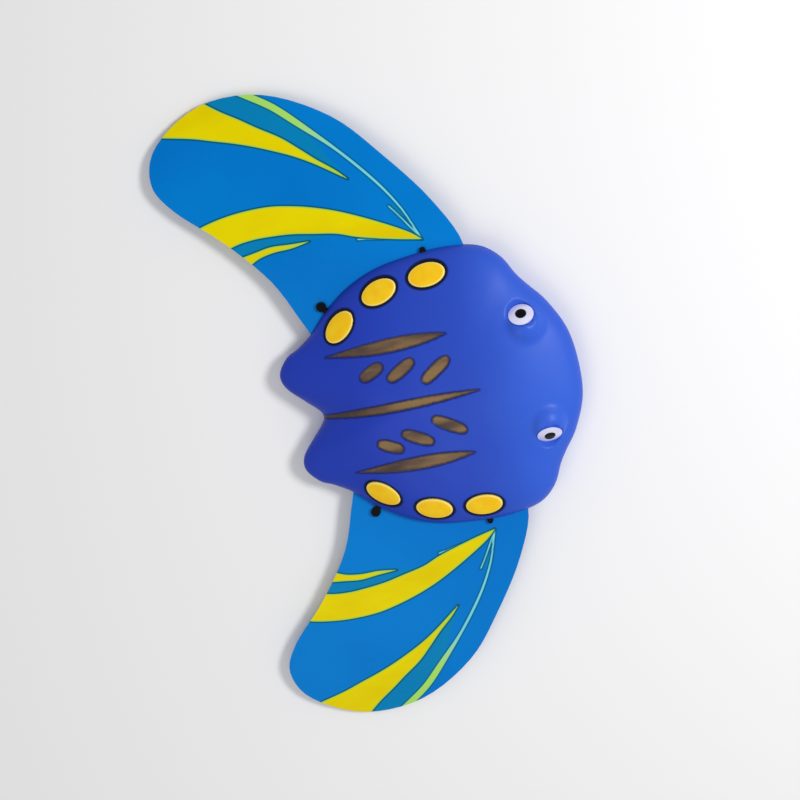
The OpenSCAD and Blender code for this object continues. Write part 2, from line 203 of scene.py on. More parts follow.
class Shader:
    """A node material round one Principled shader, with short calls for the nodes it needs."""

    def __init__(self, name: str) -> None:
        """Makes the material and its shader."""
        self.material = bpy.data.materials.new(name)
        self.material.use_nodes = True
        self.tree = self.material.node_tree
        self.surface = self.tree.nodes["Principled BSDF"]

    def set(self, **values: float | Socket | tuple[float, ...]) -> None:
        """Sets or links the shader's own sockets, named with _ for a space."""
        self.fill(self.surface, {key.replace("_", " "): value for key, value in values.items()})

    def fill(self, node: Node, inputs: dict) -> None:
        """Sets or links a node's inputs, by name or number."""
        for key, value in inputs.items():
            if isinstance(value, Socket):
                self.tree.links.new(value, node.inputs[key])
            else:
                node.inputs[key].default_value = value

    def add(self, kind: str, output: str | int, inputs: dict, **settings: str) -> Socket:
        """Adds a node.

        Args:
            kind: its type, without the words that all types start with.
            output: the name or number of the output to hand back.
            inputs: a value or a source for each input.
            settings: its own settings.
        Returns:
            The output.
        """
        node = self.tree.nodes.new("ShaderNode" + kind)
        for key, value in settings.items():
            setattr(node, key, value)
        self.fill(node, inputs)
        return node.outputs[output]

    def attribute(self, name: str) -> Socket:
        """The value of a mesh attribute."""
        return self.add("Attribute", "Fac", {}, attribute_name=name)

    def noise(self, scale: float, detail: float = 3, stretch: Triple = (1, 1, 1)) -> Socket:
        """Noise from 0 to 1 over object coordinates, which are stretched along each axis."""
        flat = self.add("TexCoord", "Object", {})
        place = self.add("Mapping", "Vector", {"Vector": flat, "Scale": stretch})
        return self.add("TexNoise", "Fac", {"Scale": scale, "Detail": detail, "Vector": place})

    def ramp(self, value: Socket, low: float, high: float, a: float = 0, b: float = 1) -> Socket:
        """The value's range low to high, which may run down, mapped smoothly to a to b."""
        inputs = {"Value": value, "From Min": low, "From Max": high, "To Min": a, "To Max": b}
        return self.add("MapRange", "Result", inputs, interpolation_type="SMOOTHSTEP")

    def math(self, kind: str, a: Socket, b: Socket | float) -> Socket:
        """One step of arithmetic with two values."""
        return self.add("Math", 0, {0: a, 1: b}, operation=kind)

    def moved(self, value: Socket, noise: Socket, width: float) -> Socket:
        """The value, moved up and down by a noise over the given width."""
        return self.math("ADD", value, self.math("MULTIPLY", self.math("SUBTRACT", noise, 0.5), width))

    def mix(self, share: Socket, a: Socket | Triple, b: Socket | Triple) -> Socket:
        """A blend from colour a to colour b."""
        a, b = (c if isinstance(c, Socket) else (*c, 1) for c in (a, b))
        return self.add("Mix", 2, {0: share, 6: a, 7: b}, data_type="RGBA")

    def bump(self, height: Socket, millimetres: float) -> None:
        """Adds a bump, whose height of 1 stands out by so many millimetres."""
        inputs = {"Strength": 1, "Distance": millimetres * MM, "Height": height}
        self.set(Normal=self.add("Bump", "Normal", inputs))


def srgb(red: int, green: int, blue: int) -> Triple:
    """A colour in linear light from its sRGB numbers."""
    shares = (v / 255 for v in (red, green, blue))
    return tuple(c / 12.92 if c <= 0.04045 else ((c + 0.055) / 1.055) ** 2.4 for c in shares)


@dataclass(frozen=True)
class BodyPlastic:
    """Satin royal-blue plastic with sprayed brown-gold marks; painted light and shade make it paler at the
    nose and darker at the rim and tail.

    The ranges are distances in millimetres from the edge of a mark or of a seat, positive outside it.
    """

    blue: Triple = srgb(40, 74, 190)
    # painted shade: the darker blue towards the rim and the tail
    deep: Triple = srgb(31, 60, 182)
    # painted light: the paler blue towards the nose
    pale: Triple = srgb(53, 97, 212)
    paint: Triple = srgb(138, 110, 72)
    paint_dark: Triple = srgb(72, 58, 56)
    # painted shadow: the dark band along the edges of the sunk marks
    ink: Triple = srgb(14, 14, 50)
    # painted shade: the dark ring in the gaps round the stud heads and belly plates
    soot: Triple = srgb(8, 8, 24)
    wander: float = 1.2
    thin_paint: Pair = (-1.6, -0.1)
    halo: Pair = (1.7, 0.3)
    paint_edge: Pair = (0.25, -0.25)
    moat_shade: Pair = (2.9, 1.5)
    shine: float = 0.18

    def build(self, name: str) -> Material:
        """Makes the material, for a mesh with share, marks, moat, and tail from the nose to the tail."""
        s = Shader(name)
        # Painted light and shade: paler towards the nose, darker towards the tail and at the rim.
        tail = s.moved(s.attribute("tail"), s.noise(9, 4), 0.5)
        skin = s.mix(s.ramp(tail, -0.05, 0.45), self.pale, self.blue)
        skin = s.mix(s.ramp(tail, 0.4, 1.0), skin, self.deep)
        skin = s.mix(s.ramp(s.attribute("share"), 0.92, 1.0, 0, 0.2), skin, self.deep)
        edge = s.moved(s.attribute("marks"), s.noise(420, 2), self.wander)
        streak = s.noise(60, 5, (1, 0.22, 1))
        paint = s.mix(s.ramp(streak, 0.32, 0.58), self.paint_dark, self.paint)
        paint = s.mix(s.ramp(edge, *self.thin_paint), paint, self.paint_dark)
        # Painted shadow round the sunk marks, where their walls fall into shade.
        skin = s.mix(s.ramp(edge, *self.halo, 0, 0.7), skin, self.ink)
        skin = s.mix(s.ramp(edge, *self.paint_edge), skin, paint)
        # Painted shade in the gaps round the studs and plates.
        skin = s.mix(s.ramp(s.attribute("moat"), *self.moat_shade, 0, 0.96), skin, self.soot)
        rough = s.ramp(s.noise(35, 4), 0.3, 0.7, 0.36, 0.46)
        s.set(Base_Color=skin, Roughness=rough, Specular_IOR_Level=self.shine)
        s.bump(s.noise(900, 2), 0.02)
        return s.material


@dataclass(frozen=True)
class PrintedSheet:
    """Smooth azure sheet with yellow swooshes, each edged in pale green and outlined in dark teal.

    The ranges are distances in millimetres from the edge of a swoosh, line or shade, positive outside it.
    """

    azure: Triple = srgb(0, 126, 211)
    azure_low: Triple = srgb(0, 117, 203)
    teal: Triple = srgb(6, 132, 178)
    dark: Triple = srgb(0, 84, 96)
    rim: Triple = srgb(170, 215, 70)
    yellow: Triple = srgb(236, 218, 0)
    gold: Triple = srgb(228, 202, 0)
    cyan: Triple = srgb(120, 214, 224)
    lime: Triple = srgb(168, 224, 104)
    shade_edge: Pair = (1.5, -2.5)
    line_outline: Pair = (1.5, 0.5)
    line_edge: Pair = (0.2, -0.15)
    swoosh_outline: Pair = (1.6, 0.7)
    swoosh_edge: Pair = (0.25, -0.1)
    fill_edge: Pair = (-0.4, -1.3)
    shine: float = 0.05

    def build(self, name: str) -> Material:
        """Makes the material, for a mesh with the distances swoosh, lines and shade, and tip."""
        s = Shader(name)
        cloud = s.noise(7, 3)
        base = s.mix(s.ramp(cloud, 0.35, 0.65), self.azure_low, self.azure)
        base = s.mix(s.ramp(s.attribute("shade"), *self.shade_edge, 0, 0.72), base, self.teal)
        lines = s.attribute("lines")
        base = s.mix(s.ramp(lines, *self.line_outline, 0, 0.65), base, self.dark)
        base = s.mix(s.ramp(lines, *self.line_edge), base, s.mix(s.attribute("tip"), self.cyan, self.lime))
        swoosh = s.attribute("swoosh")
        base = s.mix(s.ramp(swoosh, *self.swoosh_outline, 0, 0.9), base, self.dark)
        base = s.mix(s.ramp(swoosh, *self.swoosh_edge), base, self.rim)
        fill = s.mix(s.ramp(s.noise(30, 3, (1, 0.4, 1)), 0.35, 0.7), self.yellow, self.gold)
        base = s.mix(s.ramp(swoosh, *self.fill_edge), base, fill)
        rough = s.ramp(s.noise(60, 4), 0.3, 0.7, 0.2, 0.3)
        s.set(Base_Color=base, Roughness=rough, Specular_IOR_Level=self.shine)
        s.bump(s.noise(26, 2), 0.25)
        return s.material


@dataclass(frozen=True)
class Painted:
    """Moulded plastic in one paint, mottled, with another colour at its edge where it has one."""

    main: Triple
    mottle: Triple
    edge: Triple | None = None
    edge_span: Pair = (0.88, 0.97)
    rough: float = 0.3
    grain: float = 0.015
    shine: float = 0.3

    def build(self, name: str) -> Material:
        """Makes the material, for a mesh whose value edge runs up to 1 at the edge, if it has one.

        Args:
            name: the material's name.
        Returns:
            The material.
        """
        s = Shader(name)
        skin = s.mix(s.ramp(s.noise(110, 3), 0.35, 0.7), self.main, self.mottle)
        if self.edge:
            skin = s.mix(s.ramp(s.attribute("edge"), *self.edge_span), skin, self.edge)
        rough = s.ramp(s.noise(150, 3), 0.3, 0.7, self.rough - 0.05, self.rough + 0.06)
        s.set(Base_Color=skin, Roughness=rough, Specular_IOR_Level=self.shine)
        s.bump(s.noise(700, 2), self.grain)
        return s.material


# -------- meshes


def make_object(name: str, bm: BMesh, material: Material, smooth: bool = True) -> Object:
    """Turns a mesh in millimetres into an object in metres, with outward normals.

    Args:
        name: the object's name.
        bm: the mesh, which is used up.
        material: its material.
        smooth: whether its faces are shaded smooth.
    Returns:
        The object, in the scene.
    """
    bmesh.ops.recalc_face_normals(bm, faces=bm.faces)
    bmesh.ops.scale(bm, vec=(MM, MM, MM), verts=bm.verts)
    mesh = bpy.data.meshes.new(name)
    bm.to_mesh(mesh)
    bm.free()
    mesh.materials.append(material)
    mesh.polygons.foreach_set("use_smooth", [smooth] * len(mesh.polygons))
    obj = bpy.data.objects.new(name, mesh)
    bpy.context.scene.collection.objects.link(obj)
    return obj


def stacked_rings(rings: Sequence[Array], low: Vector, high: Vector) -> BMesh:
    """A skin through rings of points, closed at each end by a fan.

    Args:
        rings: the rings, each with as many points.
        low: the middle of the first fan.
        high: the middle of the last fan.
    Returns:
        The mesh: the rings' points in order, then low and high.
    """
    bm = bmesh.new()
    loops = [[bm.verts.new(p) for p in ring] for ring in rings]
    count = len(loops[0])
    for a, b in zip(loops, loops[1:]):
        for i in range(count):
            j = (i + 1) % count
            bm.faces.new((a[i], a[j], b[j], b[i]))
    for centre, loop in ((low, loops[0]), (high, loops[-1])):
        middle = bm.verts.new(centre)
        for i in range(count):
            bm.faces.new((middle, loop[i], loop[(i + 1) % count]))
    return bm


def give_values(obj: Object, **values: Array) -> None:
    """Stores one number a vertex under each name, for the material to read; the rest get 0."""
    for name, numbers in values.items():
        layer = obj.data.attributes.new(name, "FLOAT", "POINT")
        full = np.zeros(len(obj.data.vertices), np.float32)
        full[: len(numbers)] = numbers
        layer.data.foreach_set("value", full)


# -------- the body


@dataclass(frozen=True)
class RayForm:
    """The body's outline and skins, with the sizes of the CAD shells."""

    width: float = 188
    length: float = 201
    nose_l: float = 117
    belly_h: float = 12
    back_h: float = 25
    head_rise: float = 3
    belly_flat: float = 0.78
    slot_top: float = 13.6
    stud_pitch: float = 37
    stud_inset: float = 14
    stud_mid_y: float = 3
    hub_share: float = 0.508
    taper_y: float = 10
    taper_run: float = 78
    taper: float = 0.42
    dome_power: float = 0.42
    swell_w: float = 52
    swell_l: float = 34
    swell_back: float = 39
    seam: float = 0.02
    half_marks: Points = (
        (0, 0), (0.25, 0.012), (0.47, 0.057), (0.605, 0.103), (0.7, 0.134), (0.845, 0.17),
        (0.955, 0.233), (1, 0.334), (1, 0.441), (0.963, 0.582), (0.874, 0.692), (0.737, 0.788),
        (0.6, 0.857), (0.526, 0.911), (0.474, 0.96), (0.368, 0.998), (0.263, 0.99),
        (0.147, 0.941), (0.053, 0.897), (0, 0.885),
    )  # fmt: skip
    lobe_mark: int = 15
    steps: int = 8

    @property
    def hub(self) -> Array:
        """The point that the skin's rings close on."""
        return np.array([0, -self.nose_l + self.hub_share * self.length])

    @functools.cache
    def rim(self) -> Array:
        """The whole outline, from the nose round the left side to the tail and back."""
        half = [(x * self.width / 2, -self.nose_l + y * self.length) for x, y in self.half_marks]
        return smooth_curve(half + [(-x, y) for x, y in half[-2:0:-1]], self.steps, closed=True)

    def rim_x(self, y: float) -> float:
        """Half the outline's width at y, ahead of the tail lobes."""
        side = self.rim()[: self.steps * self.lobe_mark + 1]
        return np.interp(y, side[:, 1], side[:, 0])

    def polar(self, at: Array) -> tuple[Array, Array]:
        """Each place's bearing off the nose, in degrees, and distance, both seen from the hub."""
        off = at - self.hub
        return np.degrees(np.arctan2(np.abs(off[:, 0]), -off[:, 1])), np.hypot(*off.T)

    def share(self, at: Array) -> Array:
        """How far out each place lies, from 0 at the hub to 1 at the rim."""
        half = self.rim()[: self.steps * (len(self.half_marks) - 1) + 1]
        bearing, distance = self.polar(at)
        reach = np.interp(bearing, *self.polar(half))
        return np.minimum(1, distance / reach)

    def back_z(self, share: Array, at: Array) -> Array:
        """Height of the back's skin."""
        t = smooth_step((at[:, 1] - self.taper_y) / self.taper_run)
        x, y = at[:, 0] / self.swell_w, (at[:, 1] + self.nose_l - self.swell_back) / self.swell_l
        swell = np.exp(-(x**2) - y**2)
        dome = self.back_h * (1 - self.taper * t) * np.maximum(0, 1 - share**2) ** self.dome_power
        return self.belly_h - self.seam + dome + self.head_rise * swell * (1 - share**4)

    def belly_z(self, share: Array) -> Array:
        """Height of the belly's skin."""
        return self.belly_h * np.maximum(0, (share - self.belly_flat) / (1 - self.belly_flat)) ** 2


@dataclass(frozen=True)
class StudPlace:
    """Where a stud's two heads lie on a side of the body."""

    form: RayForm
    row: Row
    side: Side
    head_l: float = 25
    head_w: float = 16
    head_t: float = 2.6
    proud: float = 0.8
    rim_probe: float = 2
    skin_probe: float = 3

    @property
    def y(self) -> float:
        """The stud's place along the body."""
        return self.row.value * self.form.stud_pitch + self.form.stud_mid_y

    @property
    def heading(self) -> float:
        """Turn of the rim beside the stud, in degrees, for the left side."""
        step = self.rim_probe
        fall = self.form.rim_x(self.y - step) - self.form.rim_x(self.y + step)
        return math.degrees(math.atan(fall / (2 * step)))

    @property
    def outward(self) -> Array:
        """The way from the stud to the rim beside it, on the left side."""
        h = math.radians(self.heading)
        return np.array([math.cos(h), math.sin(h)])

    def at(self, out: float = 0) -> Array:
        """The stud's centre on the left side, moved outward by out."""
        return np.array([self.form.rim_x(self.y), self.y]) + (out - self.form.stud_inset) * self.outward

    def height(self, under: bool, out: float = 0) -> float:
        """Height of the back's or belly's skin, so far outward of the stud."""
        at = self.at(out)[None]
        share = self.form.share(at)
        return float((self.form.belly_z(share) if under else self.form.back_z(share, at))[0])

    def slope(self, under: bool) -> float:
        """Fall of the back's skin, or rise of the belly's, towards the rim, in degrees."""
        step = self.skin_probe
        fall = (self.height(under, -step) - self.height(under, step)) / (2 * step)
        return math.degrees(math.atan(-fall if under else fall))

    def seat(self, under: bool) -> float:
        """Height of the head's mid-plane."""
        z = self.height(under)
        return max(z, self.proud + self.head_w / 2 * math.sin(math.radians(self.slope(True)))) if under else z

    def matrix(self, under: bool) -> Matrix:
        """Placing of a head's own frame, which has +Z out of the skin, in the row's frame."""
        lean = 180 - self.slope(True) if under else self.slope(False)
        m = Matrix.Translation((*self.at(), self.seat(under))) @ rotation(self.heading, "Z")
        return sided(m @ rotation(lean, "Y"), self.side)

    def outline(self, under: bool) -> Array:
        """The head's outline seen from straight above, on the left side."""
        flat = ellipse(self.head_w * math.cos(math.radians(self.slope(under))), self.head_l)
        return turned(flat, self.heading) + self.at()


@dataclass(frozen=True)
class EyePlace:
    """Where an eye sits on its mound."""

    form: RayForm
    side: Side
    gap: float = 82
    back: float = 28
    white_d: float = 18
    pupil_d: float = 7
    mound_r: float = 15
    mound_rise: float = 5
    crown_r: float = 26
    tilt: float = 46
    yaw: float = 8

    @property
    def seat(self) -> float:
        """Distance from the mound's centre to the plane of the eye's edge."""
        return math.sqrt(self.mound_r**2 - (self.white_d / 2) ** 2)

    @property
    def direction(self) -> Vector:
        """The way the eye looks, on the left side."""
        t, y = math.radians(self.tilt), math.radians(self.yaw)
        return Vector((math.sin(t) * math.cos(y), -math.sin(t) * math.sin(y), math.cos(t)))

    @property
    def centre(self) -> Vector:
        """Centre of the mound's ball, on the left side."""
        d, seat = self.direction, self.seat
        at = np.array([[self.gap / 2 - seat * d.x, -self.form.nose_l + self.back - seat * d.y]])
        z = float(self.form.back_z(self.form.share(at), at)[0]) + self.mound_rise - self.mound_r
        return Vector((at[0, 0], at[0, 1], z))

    def matrix(self) -> Matrix:
        """From the eye's own frame, with its centre at the mound's, to the row's frame."""
        m = Matrix.Translation(self.centre) @ rotation(-self.yaw, "Z")
        return sided(m @ rotation(self.tilt, "Y"), self.side)


@dataclass
class SkinGrid:
    """Places all over the body, on rings round the hub from the inside out to the rim."""

    form: RayForm
    rings: int
    lip_in: float = 0.968
    inner_in: float = 0.98
    tail_y: float = -105
    tail_run: float = 150

    def __post_init__(self) -> None:
        """Lays the places out."""
        shares = np.sin(np.linspace(0, math.pi / 2, self.rings + 1)[1:])
        rim, hub = self.form.rim(), self.form.hub
        self.count = len(rim)
        self.share = np.repeat(shares, self.count)
        self.at = (hub + (rim - hub) * shares[:, None, None]).reshape(-1, 2)
        self.folded = np.stack([np.abs(self.at[:, 0]), self.at[:, 1]], axis=1)
        # tail runs from 0 at the nose to 1 towards the tail; the body's painted light and shade follow it.
        self.tail = smooth_step((self.at[:, 1] - self.tail_y) / self.tail_run)

    def skin(
        self, name: str, z: Array, inward: float, inner_z: float, material: Material, **distances: Array
    ) -> Object:
        """Makes the skin, with a turned-in lip and a closing face inside.

        Args:
            name: the object's name.
            z: height of each place.
            inward: how far the closing face's edge lies beyond the lip, along Z.
            inner_z: height of the closing face's middle.
            material: the skin's material.
            distances: distance of each place to the marks and to the moat.
        Returns:
            The object.
        """
        hub, n = self.form.hub, self.count
        rings = list(np.column_stack([self.at, z]).reshape(self.rings, n, 3))
        lip = rings[-1].copy()
        lip[:, :2] = hub + (lip[:, :2] - hub) * self.lip_in
        inner = lip.copy()
        inner[:, :2] = hub + (lip[:, :2] - hub) * self.inner_in
        inner[:, 2] += inward
        bm = stacked_rings([*rings, lip, inner], Vector((*hub, z[:n].mean())), Vector((*hub, inner_z)))
        obj = make_object(name, bm, material)
        values = {"share": self.share, "tail": self.tail} | {key: capped(v) for key, v in distances.items()}
        full = {key: np.concatenate([v, v[-n:], v[-n:], v[:1], v[-1:]]) for key, v in values.items()}
        give_values(obj, **full)
        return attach(obj, "body")


@dataclass
class BackShell:
    """The upper shell: domed skin with eye mounds, stud seats and sunk, painted marks.

    A stripe is its x, width, start and end; a leaf mark is its x, y, length and turn.
    """

    form: RayForm
    material: Material
    rings: int = 112
    mark_depth: float = 0.8
    mark_run: float = 1.2
    moat_depth: float = 1.2
    moat_w: float = 1.3
    moat_run: float = 0.8
    eye_depth: float = 1.2
    eye_inset: float = 0.1
    eye_run: float = 0.9
    blend: float = 2.2
    slot_y: Pair = (-84, 67)
    slot_run: float = 2
    lip_rise: float = 2
    lining: float = 4
    stripes: Sequence[tuple[float, ...]] = ((0, 6.2, -52, 72), (41, 8.8, -39, 46))
    stripe_points: int = 28
    stripe_lead: float = 0.82
    stripe_taper: float = 1.05
    leaves: Sequence[tuple[float, ...]] = ((19, -27, 24, 32), (23.5, -4, 22, 28), (26, 16, 18, 24))
    leaf_w: float = 7.8
    leaf_blunt: float = 2.7

    def marks(self) -> list[Array]:
        """Outlines of the left side's stripes and leaf marks."""
        leaves = [
            turned(ellipse(self.leaf_w, length, blunt=self.leaf_blunt), turn) + (x, y)
            for x, y, length, turn in self.leaves
        ]
        return [self.stripe(*stripe) for stripe in self.stripes] + leaves

    def stripe(self, x: float, width: float, start: float, end: float) -> Array:
        """A spindle-shaped outline along Y from start to end, fuller towards its front end."""
        gone = 0.5 - 0.5 * np.cos(np.linspace(0, math.pi, self.stripe_points))
        y = start + (end - start) * gone
        half = width / 2 * np.abs(np.sin(math.pi * gone**self.stripe_lead)) ** self.stripe_taper
        return np.concatenate([np.stack([x + half, y], 1), np.stack([x - half, y], 1)[-2:0:-1]])

    def mounds(self, at: Array, z: Array) -> Array:
        """Raises the skin to the eye's mound and sinks the eye's round seat into it, along its axis.

        Args:
            at: places folded onto the left side.
            z: height of the skin there.
        Returns:
            The new heights.
        """
        eye = EyePlace(self.form, Side.LEFT)
        ball, look = eye.centre, eye.direction
        dx, dy = at[:, 0] - ball.x, at[:, 1] - ball.y
        off = np.hypot(dx, dy)
        dome = ball.z + np.sqrt(np.maximum(0, eye.mound_r**2 - off**2))
        h = np.clip(0.5 + 0.5 * (dome - z) / self.blend, 0, 1)
        near = off < eye.mound_r
        z = np.where(near, z + (dome - z) * h + self.blend * h * (1 - h), z)
        sin, cos = math.hypot(look.x, look.y), look.z
        out, side = (dx * look.x + dy * look.y) / sin, (dy * look.x - dx * look.y) / sin
        reach = eye.white_d / 2
        half = np.sqrt(np.maximum(0, reach**2 - side**2))
        from_axis = np.hypot(side, (out - eye.seat * sin) / cos)
        depth = self.eye_depth * smooth_step((reach - self.eye_inset - from_axis) / self.eye_run)
        floor = np.maximum((out * cos - half) / sin, (eye.seat - depth - out * sin) / cos)
        cut = (half > 0) & (floor < (out * cos + half) / sin)
        return np.where(cut, np.minimum(z, ball.z + floor), z)

    def build(self) -> Object:
        """Makes the shell."""
        form, grid = self.form, SkinGrid(self.form, self.rings)
        at, y = grid.folded, grid.at[:, 1]
        marks = nearest(at, self.marks())
        moat = nearest(at, [StudPlace(form, row, Side.LEFT).outline(False) for row in Row])
        z = self.mounds(at, form.back_z(grid.share, grid.at))
        z = z - self.mark_depth * smooth_step(0.5 - marks / self.mark_run)
        z = z - self.moat_depth * smooth_step((self.moat_w - moat) / self.moat_run)
        front, rear = self.slot_y
        slot = smooth_step((y - front) / self.slot_run) * smooth_step((rear - y) / self.slot_run)
        z = np.maximum(z, form.belly_h + (form.slot_top - form.belly_h) * slot)
        inner_z = form.belly_h + self.lining
        obj = grid.skin("skin_back", z, self.lip_rise, inner_z, self.material, marks=marks, moat=moat)
        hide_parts("back_shell")
        return obj


@dataclass
class BellyShell:
    """The lower shell: flat belly, seats for studs and plates, and moulded grooves.

    Ends of the pleats are shares of half the width and of the length.
    """

    form: RayForm
    material: Material
    rings: int = 96
    mouth_w: float = 39
    mouth_l: float = 50
    mouth_back: float = 16
    bite_share: float = 0.28
    bite_gap: float = 5
    gill_l: float = 46
    gill_w: float = 11.5
    gill_off: Pair = (2, 1)
    gill_turn: float = -3
    gill_gap: float = 3
    plate_depth: float = 1.95
    plate_gap: float = 1.2
    head_depth: float = 1.9
    head_gap: float = 1.4
    head_run: float = 0.9
    groove: float = 0.8
    finger_r: float = 5.2
    finger_start: Pair = (0.337, -2)  # share of half the width, millimetres from the plate's middle
    finger_tip: Pair = (0.821, 0.102)  # share of half the width, share of the length past a front stud
    finger_line: float = 0.3
    finger_run: float = 0.9
    pleats: Sequence[Points] = (((0.421, 0.893), (0.347, 0.65)), ((0.253, 0.932), (0.179, 0.767)))
    pleat_r: float = 1.0
    pleat_run: float = 1.2
    lip_drop: float = 2
    lining: float = 3
    plate_shade: float = 0.7

    @property
    def mouth_y(self) -> float:
        """Y of the mouth plate's centre."""
        return -self.form.nose_l + self.mouth_back + self.mouth_l / 2

    def plates(self, at: Array) -> Array:
        """Distance to the mouth plate or gill plate, for places folded onto the left side."""
        x, y, half_l = *at.T, self.mouth_l / 2
        mouth = signed_distance(at, ellipse(self.mouth_w, self.mouth_l) + (0, self.mouth_y))
        bite = self.mouth_w * self.bite_share - np.hypot(x, y - self.mouth_y - half_l - self.bite_gap)
        root = (self.mouth_w / 2 + self.gill_off[0], self.mouth_y + half_l + self.gill_off[1])
        half, w = self.gill_l / 2, self.gill_w / 2
        leaf = smooth_curve(
            [(0.8, -half), (w * 0.72, -half / 2), (w, -2), (w * 0.66, half / 2), (-1, half),
             (-w * 0.8, half / 2), (-w, -2), (-w * 0.72, -half / 2)], 6, closed=True,
        )  # fmt: skip
        gill = signed_distance(at, turned(leaf, self.gill_turn) + root)
        wider = ellipse(self.mouth_w + self.gill_gap, self.mouth_l + self.gill_gap) + (0, self.mouth_y)
        return np.minimum(np.maximum(mouth, bite), np.maximum(gill, -signed_distance(at, wider)))

    def grooves(self, at: Array) -> Array:
        """Depth share of the finger's groove and the pleats, for folded places."""
        half_w, nose = self.form.width / 2, -self.form.nose_l
        front_y = StudPlace(self.form, Row.FRONT, Side.LEFT).y
        start = (self.finger_start[0] * half_w, self.mouth_y + self.finger_start[1])
        tip = (self.finger_tip[0] * half_w, front_y - self.finger_tip[1] * self.form.length)
        finger = line_distance(at, np.array([start, tip])) - self.finger_r
        depth = 1 - smooth_step((np.abs(finger) - self.finger_line) / self.finger_run)
        for ends in self.pleats:
            line = np.array([(x * half_w, nose + y * self.form.length) for x, y in ends])
            pleat = 1 - smooth_step((line_distance(at, line) - self.pleat_r) / self.pleat_run)
            depth = np.maximum(depth, pleat)
        return depth

    def build(self) -> Object:
        """Makes the shell."""
        form, grid = self.form, SkinGrid(self.form, self.rings)
        at = grid.folded
        plates = self.plates(at)
        z = form.belly_z(grid.share) + self.groove * self.grooves(at)
        z = z + self.plate_depth * smooth_step(self.plate_gap - plates)
        moat = plates + self.plate_shade
        for row in Row:
            stud = StudPlace(form, row, Side.LEFT)
            gap = signed_distance(at, stud.outline(True))
            rise = ((at - stud.at()) @ stud.outward) * math.tan(math.radians(stud.slope(True)))
            seat = stud.seat(True) - stud.proud + self.head_depth + rise
            z = z + np.maximum(0, seat - z) * smooth_step((self.head_gap - gap) / self.head_run)
            moat = np.minimum(moat, gap)
        z, marks, inner_z = np.minimum(z, form.belly_h), np.full(len(at), FAR), form.belly_h - self.lining
        obj = grid.skin("skin_belly", z, -self.lip_drop, inner_z, self.material, marks=marks, moat=moat)
        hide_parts("belly_shell")
        return obj


@dataclass
class StudHead:
    """One oval head: a crowned button with a rounded edge that its material paints paler, as a highlight."""

    place: StudPlace
    under: bool
    material: Material
    crown_r: float = 60
    edge_r: float = 0.7
    stem_share: float = 0.3
    stem_l: float = 3
    tip_share: float = 0.06
    segments: int = 64

    def profile(self) -> Points:
        """The head's profile from the stem's foot to the crown, as shares of the outline and heights."""
        p, r = self.place, self.edge_r
        half_w, bottom = p.head_w / 2, p.proud - p.head_t
        edge_z = p.proud - half_w**2 / (2 * self.crown_r) - r
        line = [(self.stem_share, bottom - self.stem_l), (self.stem_share, bottom)]
        line += [(1.0, bottom), (1.0, edge_z)]
        for a in np.radians(np.linspace(0, 90, 5)[1:]):
            line.append((1 - r * (1 - math.cos(a)) / half_w, edge_z + r * math.sin(a)))
        for k in np.linspace(line[-1][0], self.tip_share, 10)[1:]:
            line.append((k, p.proud - (k * half_w) ** 2 / (2 * self.crown_r)))
        return line

    def build(self) -> Object:
        """Makes the head with the start of its post."""
        p, n, line = self.place, self.segments, self.profile()
        outline, bottom = ellipse(p.head_w, p.head_l, n), p.proud - p.head_t
        rings = [np.column_stack([outline * k, np.full(n, z)]) for k, z in line]
        edge = [np.full(n, k if z > bottom else 1) for k, z in line]
        bm = stacked_rings(rings, Vector((0, 0, line[0][1])), Vector((0, 0, p.proud)))
        bmesh.ops.transform(bm, matrix=p.matrix(self.under), verts=bm.verts)
        kind = "post" if self.under else "cap"
        obj = make_object(f"stud_{kind}_head_{p.side.label}_{p.row.label}", bm, self.material)
        give_values(obj, edge=np.concatenate([*edge, [1, 0]]))
        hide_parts(f"stud_{kind}_{p.side.label}_{p.row.label}")
        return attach(obj, "body")


